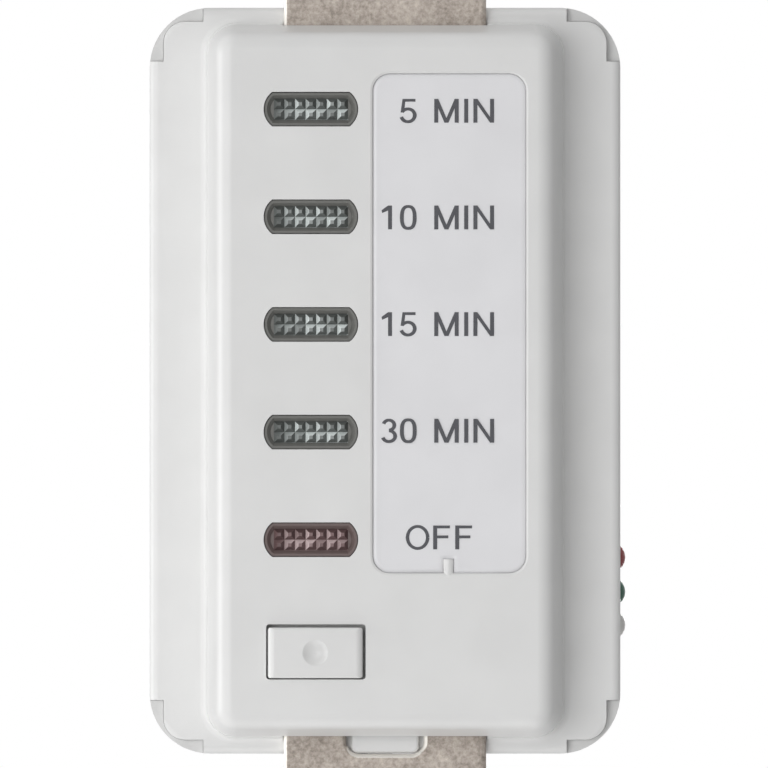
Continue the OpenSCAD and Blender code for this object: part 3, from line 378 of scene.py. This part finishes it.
def tinted_lens(name, rim, dark, middle, glint):
    """Tinted lens: plain rim, prisms with painted glints, painted shadow at the left from the window's
    edge.
    """
    look = Look(name, Roughness=0.3, IOR=1.5, Specular_IOR_Level=0.3)
    across, above, row_start = lens_place(look)
    in_columns = look.within(across, PRISM_COLUMNS / 2 * PRISM_PITCH)
    in_rows = look.within(above, PRISM_ROWS / 2 * PRISM_PITCH)
    in_field = look.math("MULTIPLY", in_columns, in_rows)
    # Painted glints on the prism flanks that face the light, then a painted shadow from the window's left
    # edge
    painted_glints = look.math("MULTIPLY", lit_flanks(look, above), prism_sparkle(look, across, above, row_start))
    start, end = SHADOW_SPAN
    lit = look.math("MULTIPLY", painted_glints, look.span(across, SHADOW_LIGHT, 1.0, start * MM, end * MM))
    shade = look.math("MULTIPLY", in_field, look.span(lit, FIELD_DARK, FIELD_GLINT))
    look.colours(shade, [(0.0, rim), (FIELD_DARK, dark), (FIELD_MIDDLE, middle), (FIELD_GLINT, glint)])
    return look.material


# Materials of the part, by slot
WHITE = (0.74, 0.74, 0.735)
MOULDED = {
    "cover_plastic": {"colour": WHITE, "roughness": 0.42},
    "button_plastic": {"colour": WHITE, "roughness": 0.38},
    "legend_plastic": {"colour": (0.768, 0.766, 0.784), "roughness": 0.35},
    "housing_plastic": {"colour": (0.66, 0.66, 0.655), "roughness": 0.48},
}
TINTED = {
    "lens_green": {
        "rim": (0.16, 0.16, 0.15), "dark": (0.07, 0.076, 0.072), "middle": (0.2, 0.215, 0.21),
        "glint": (0.8, 0.86, 0.85)},
    "lens_red": {
        "rim": (0.155, 0.117, 0.112), "dark": (0.08, 0.048, 0.048), "middle": (0.2, 0.13, 0.13),
        "glint": (0.7, 0.56, 0.56)},
}
METALS = {
    "screw_steel": {"colour": (0.55, 0.54, 0.52), "roughness": 0.32},
    "iron": {"colour": (0.32, 0.33, 0.35), "roughness": 0.4},
    "brass": {"colour": (0.62, 0.47, 0.2), "roughness": 0.3},
    "tin": {"colour": (0.62, 0.61, 0.58), "roughness": 0.3},
    "copper": {"colour": (0.68, 0.34, 0.2), "roughness": 0.3},
}
PLAIN_PARTS = {
    "control_board_green": {"colour": (0.03, 0.16, 0.06), "roughness": 0.35},
    "power_board_tan": {"colour": (0.42, 0.29, 0.14), "roughness": 0.5},
    "black_plastic": {"colour": (0.025, 0.025, 0.027), "roughness": 0.4},
    "lamp_white": {"colour": (0.75, 0.76, 0.72), "roughness": 0.35},
    "amber_film": {"colour": (0.55, 0.36, 0.09), "roughness": 0.3},
    "capacitor_yellow": {"colour": (0.72, 0.5, 0.07), "roughness": 0.4},
    "capacitor_blue": {"colour": (0.02, 0.035, 0.12), "roughness": 0.35},
    "varistor_blue": {"colour": (0.03, 0.12, 0.42), "roughness": 0.4},
    "resistor_green": {"colour": (0.18, 0.42, 0.3), "roughness": 0.45},
    "relay_blue": {"colour": (0.04, 0.14, 0.4), "roughness": 0.35},
    "coil_copper": {"colour": (0.5, 0.22, 0.1), "roughness": 0.35, "grain": 0.4},
}
LEAD_SKINS = {
    "lead_red": {"colour": (0.21, 0.022, 0.026)},
    "lead_green": {"colour": (0.015, 0.075, 0.045)},
    "lead_white": {"colour": (0.72, 0.71, 0.69)},
    "lead_black": {"colour": (0.02, 0.02, 0.021)},
}
INK_COLOUR = (0.055, 0.056, 0.065)


def make_looks(maker, table):
    """A look for each slot of a table."""
    return {slot: maker(slot, **traits) for slot, traits in table.items()}


LOOKS = {
    **make_looks(moulded_plastic, MOULDED),
    **make_looks(tinted_lens, TINTED),
    **make_looks(bare_metal, METALS),
    **make_looks(plain_part, PLAIN_PARTS),
    **make_looks(lead_skin, LEAD_SKINS),
    "zinc_steel": zinc_steel("zinc_steel"),
}


def dress_nodes():
    """Each node of the frame takes the look of its material slot."""
    for entry in frame["record"]["subparts"]:
        node = nodes[entry["node"]]
        node.data.materials.clear()
        node.data.materials.append(LOOKS[entry["material_slot"]])


# Leads, in mm: the hole in the back (x, z), where the lead starts inside, and its way from the hole's end
LEAD_DIAMETER = 2.9
HOLE_START_Y = 28.2
HOLE_END_Y = 31.2
WIRE_SMOOTHNESS = 8
LEADS = {
    "red": {"hole": (16, -14.8), "start_y": 13.4, "route": [
        (0, 0, 0), (0, 6, 0), (0.7, 10.1, -0.4), (2.9, 13.7, -1.1), (5.1, 17.3, -1.9), (5.8, 21.4, -2.3),
        (5.1, 25.5, -2.5), (2.9, 29.1, -2.5), (-1.3, 32.3, -2.5), (-6.4, 33.4, -2.6), (-14.5, 33.4, -4.5),
        (-20.4, 33.4, -10.1), (-22.6, 33.4, -17.8), (-23, 33.2, -30), (-23.2, 32.8, -48),
        (-23.2, 32.4, -68), (-23, 32, -89.5)]},
    "green": {"hole": (16, -19.5), "start_y": 5.5, "route": [
        (0, 0, 0), (0, 6, 0), (0.7, 10.1, -0.2), (2.9, 13.7, -0.5), (5.1, 17.3, -0.8), (5.8, 21.4, -0.9),
        (5.1, 25.5, -0.9), (2.9, 29.1, -0.9), (-1.3, 32.3, -0.9), (-6.4, 33.4, -1), (-13, 33.4, -2.6),
        (-17.7, 33.4, -7), (-19.5, 33.4, -13.1), (-19.7, 33.4, -26), (-19.6, 33.5, -46),
        (-19.4, 33.7, -68), (-19.2, 34, -89.8)]},
    "white": {"hole": (16, -24.2), "start_y": 13.4, "route": [
        (0, 0, 0), (0, 6, 0), (0.7, 10.1, 0.1), (2.9, 13.7, 0.3), (5.1, 17.3, 0.5), (5.8, 21.4, 0.6),
        (5.1, 25.5, 0.7), (2.9, 29.1, 0.7), (-1.3, 32.3, 0.7), (-6.4, 33.4, 0.6), (-11.4, 33.4, -0.8),
        (-15.1, 33.4, -4.2), (-16.4, 33.4, -8.4), (-16.4, 33.5, -22), (-16.2, 33.8, -44),
        (-15.8, 34.3, -66), (-15.4, 35, -89.8)]},
    "black": {"hole": (11.3, -19.5), "start_y": 13.4, "route": [
        (0, 0, 0), (0, 6, 0), (0.7, 10.1, 0), (2.8, 13.7, 0), (4.4, 16.4, 0), (4.9, 19.5, 0),
        (4.4, 22.6, 0), (2.8, 25.3, 0), (-0.3, 27.7, 0), (-4.1, 28.5, 0), (-9.1, 28.5, -1.3),
        (-12.8, 28.5, -5), (-14.1, 28.5, -10), (-14.2, 28.4, -24), (-14.2, 28.1, -46),
        (-14, 27.6, -72), (-13.8, 27, -97.5)]},
}

# Stripped ends, in mm: a core strand and others laid round it, which turn once in a lay
CONDUCTOR_DIAMETER = 1.3
STRIPPED_LENGTH = 12
STRANDS = 6
STRANDS_ACROSS = 3
STRAND_LAY = 9.0
STRAND_STEPS = 24
STRAND_SMOOTHNESS = 2


def round_wire(name, diameter, smoothness, material):
    """Data of round wires of that diameter in mm, which have no route yet."""
    data = bpy.data.curves.new(name, "CURVE")
    data.dimensions = "3D"
    data.bevel_depth = diameter / 2 * MM
    data.bevel_resolution = smoothness
    data.use_fill_caps = True
    data.materials.append(material)
    return data


def add_insulation(name, path, material):
    """The insulated length of a lead, along a path in mm."""
    data = round_wire(name, LEAD_DIAMETER, WIRE_SMOOTHNESS, material)
    spline = data.splines.new("BEZIER")
    spline.bezier_points.add(len(path) - 1)
    for knot, point in zip(spline.bezier_points, path):
        knot.co = point * MM
        knot.handle_left_type = "AUTO"
        knot.handle_right_type = "AUTO"
    return add_object(name, data)


def add_strands(name, start, way):
    """The stripped end of a lead: a core strand with others laid round it."""
    strand_diameter = CONDUCTOR_DIAMETER / STRANDS_ACROSS
    lay_radius = (CONDUCTOR_DIAMETER - strand_diameter) / 2
    side = way.orthogonal().normalized()
    up = way.cross(side)
    data = round_wire(name, strand_diameter, STRAND_SMOOTHNESS, LOOKS["copper"])
    for strand in range(STRANDS + 1):
        spline = data.splines.new("POLY")
        spline.points.add(STRAND_STEPS)
        radius = lay_radius if strand < STRANDS else 0
        for step, point in enumerate(spline.points):
            run = STRIPPED_LENGTH * step / STRAND_STEPS
            angle = 2 * math.pi * (strand / STRANDS + run / STRAND_LAY)
            offset = radius * (math.cos(angle) * side + math.sin(angle) * up)
            point.co = (*((start + run * way + offset) * MM), 1)
    return add_object(name, data)


def add_lead(colour, hole, start_y, route):
    """A round lead with its stripped end, in place of the frame's tube and tip."""
    x, z = hole
    leaving = Vector((x, HOLE_END_Y, z))
    path = [Vector((x, start_y, z)), Vector((x, HOLE_START_Y, z))]
    path += [leaving + Vector(step) for step in route]
    wire = add_insulation(f"{colour}_lead_wire", path, LOOKS[f"lead_{colour}"])
    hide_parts(f"{colour}_lead")
    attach(wire, "switch")
    strands = add_strands(f"{colour}_lead_strands", path[-1], (path[-1] - path[-2]).normalized())
    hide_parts(f"{colour}_lead_tip")
    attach(strands, "switch")


# Legend plate: how far its front edge is rounded, across and down, and how far its outline grows, in mm
PLATE_ROUND = 0.38
PLATE_FALL = 0.17
PLATE_GROWTH = 0.08
PLATE_FRONT_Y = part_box("legend_plate")[0].y

# Its mesh: steps and form of the rounding, how far a side may lean, what counts as one point or plane
ROUND_SEGMENTS = 6
QUARTER_CIRCLE = 0.5
SIDE_LEAN = 0.5
WELD = 0.001 * MM
FLAT_ANGLE = math.radians(1)


def grow_plate(shape):
    """Moves all the sides of the plate outwards by the same distance."""
    for corner in shape.verts:
        first, second = [face.normal for face in corner.link_faces if abs(face.normal.y) < SIDE_LEAN]
        corner.co += (first + second) / (1 + first.dot(second)) * PLATE_GROWTH * MM


def round_plate(shape):
    """Rounds the plate's front edges over, wider than they fall."""
    on_front = [corner for corner in shape.verts if corner.co.y < PLATE_FRONT_Y + WELD]
    rim = [edge for edge in shape.edges if all(corner in on_front for corner in edge.verts)]
    rounded = bmesh.ops.bevel(
        shape, geom=rim, offset=PLATE_ROUND * MM, segments=ROUND_SEGMENTS, profile=QUARTER_CIRCLE,
        affect="EDGES")
    for corner in shape.verts:
        depth = corner.co.y - PLATE_FRONT_Y
        if depth < PLATE_ROUND * MM + WELD:
            corner.co.y = PLATE_FRONT_Y + depth * PLATE_FALL / PLATE_ROUND
    for face in shape.faces:
        face.smooth = face in rounded["faces"]


def add_plate():
    """The legend plate, grown close to its pocket's wall, with its front edges rounded over."""
    mesh = nodes["legend_plate"].data.copy()
    mesh.name = "legend_plate_rounded"
    shape = bmesh.new()
    shape.from_mesh(mesh)
    bmesh.ops.remove_doubles(shape, verts=shape.verts, dist=WELD)
    bmesh.ops.dissolve_limit(shape, angle_limit=FLAT_ANGLE, verts=shape.verts, edges=shape.edges)
    grow_plate(shape)
    round_plate(shape)
    shape.to_mesh(mesh)
    shape.free()
    plate = add_object(mesh.name, mesh)
    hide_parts("legend_plate")
    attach(plate, "switch")


# Printed legends: a plain sans-serif face, drawn in mm from the left end of its baseline
CAP = 2.2
STEM = 0.37
BAR = 0.26
ARC_STEPS = 28


def arc(centre, radii, start, end):
    """Points of an elliptical arc, between two angles in degrees."""
    angles = [math.radians(start + (end - start) * step / ARC_STEPS) for step in range(ARC_STEPS + 1)]
    return [(centre[0] + radii[0] * math.cos(a), centre[1] + radii[1] * math.sin(a)) for a in angles]


def stroke(points, stem=STEM):
    """Four-sided pieces along a path; level runs are drawn thinner than upright ones."""
    edges = []
    for index, (x, z) in enumerate(points):
        before = points[max(index - 1, 0)]
        after = points[min(index + 1, len(points) - 1)]
        run = after[0] - before[0]
        rise = after[1] - before[1]
        length = math.hypot(run, rise)
        half = (stem * abs(rise) + BAR * abs(run)) / (abs(rise) + abs(run)) / 2
        side = (-rise / length * half, run / length * half)
        edges.append(((x - side[0], z - side[1]), (x + side[0], z + side[1])))
    return [(a[0], a[1], b[1], b[0]) for a, b in zip(edges, edges[1:])]


def slant(top, bottom):
    """A slanting stroke cut level at both ends, between the cap line and the baseline."""
    return [(bottom, 0), (bottom + STEM, 0), (top + STEM, CAP), (top, CAP)]


def upright(x):
    """An upright stroke from the baseline to the cap line."""
    return slant(x, x)


def level(z, left, right):
    """A level stroke that stands on a height."""
    return [(left, z), (right, z), (right, z + BAR), (left, z + BAR)]


def ring(width, height, stem=STEM, squareness=2.0):
    """A closed round stroke: an ellipse, or with more squareness one with straighter sides."""
    half_width = (width - stem) / 2
    half_height = (height - BAR) / 2
    points = []
    for across, up in arc((0, 0), (1, 1), 0, 360):
        x = math.copysign(abs(across) ** (2 / squareness), across)
        z = math.copysign(abs(up) ** (2 / squareness), up)
        points.append((width / 2 + half_width * x, CAP / 2 + half_height * z))
    return stroke(points, stem)


GLYPHS = {
    "0": ring(1.56, CAP + 0.08, squareness=2.6),
    "1": [upright(0.6), [(0.05, 1.5), (0.6, 1.74), (0.6, CAP), (0, 1.77)]],
    "3": [*stroke(arc((0.72, 1.62), (0.5, 0.46), 165, -90)),
          *stroke(arc((0.72, 0.6), (0.58, 0.5), 90, -165))],
    "5": [level(CAP - BAR, 0.26, 1.44), [(0.06, 0.94), (0.38, 0.94), (0.52, CAP), (0.24, CAP)],
          *stroke(arc((0.74, 0.68), (0.63, 0.59), 148, -165))],
    "M": [upright(0), upright(1.89), slant(0, 0.945), slant(1.89, 0.945)],
    "I": [upright(0)],
    "N": [upright(0), upright(1.54), slant(0, 1.54)],
    "O": ring(2.2, CAP + 0.1, stem=0.33),
    "F": [upright(0), level(CAP - BAR, 0, 1.55), level(1.02, 0, 1.4)],
}

# Each piece of a line lies a hair in front of the one before it, so that overlaps stay clean
INK_LIFT = 0.012
INK_STEP = 0.0008

# Lines of the legend, in mm: the middle of the top one, their pitch, and where each letter starts
LEGEND_TOP = 24.95
LEGEND_PITCH = 9.86
MIN_PLACES = (("M", 4.55), ("I", 7.32), ("N", 8.17))
LEGENDS = {
    "legend_5": (("5", 1.38), *MIN_PLACES),
    "legend_10": (("1", -0.32), ("0", 1.37), *MIN_PLACES),
    "legend_15": (("1", -0.32), ("5", 1.38), *MIN_PLACES),
    "legend_30": (("3", -0.36), ("0", 1.37), *MIN_PLACES),
    "legend_off": (("O", 1.91), ("F", 4.45), ("F", 6.49)),
}


def add_legend(name, row, places, ink):
    """One printed line, centred on its row's height."""
    points = []
    faces = []
    for glyph, left in places:
        for piece in GLYPHS[glyph]:
            faces.append(tuple(range(len(points), len(points) + len(piece))))
            front = PLATE_FRONT_Y - (INK_LIFT + INK_STEP * len(faces)) * MM
            points += [((left + x) * MM, front, (row - CAP / 2 + z) * MM) for x, z in piece]
    mesh = bpy.data.meshes.new(name)
    mesh.from_pydata(points, [], faces)
    mesh.materials.append(ink)
    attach(add_object(name, mesh), "switch")


def add_legends():
    """The printed lines, from the top one down."""
    ink = printed_ink("legend_ink", INK_COLOUR)
    for row, (name, places) in enumerate(LEGENDS.items()):
        add_legend(name, LEGEND_TOP - row * LEGEND_PITCH, places, ink)


def add_floor():
    """A wide sheet of paper, well below the part."""
    lowest = cad_box[0].z - FLOOR_GAP
    half = FLOOR_SIDE / 2
    mesh = bpy.data.meshes.new("floor")
    corners = [(-half, -half, lowest), (half, -half, lowest), (half, half, lowest), (-half, half, lowest)]
    mesh.from_pydata(corners, [], [(0, 1, 2, 3)])
    mesh.materials.append(floor_paper("floor_paper", FLOOR_COLOUR, FLOOR_GLOW))
    add_object("floor", mesh)


bpy.context.scene.view_settings.view_transform = "Standard"
add_camera()
make_world()
for name, lamp in LAMPS.items():
    add_panel(name, **lamp)
add_floor()
dress_nodes()
for colour, lead in LEADS.items():
    add_lead(colour, **lead)
add_plate()
add_legends()
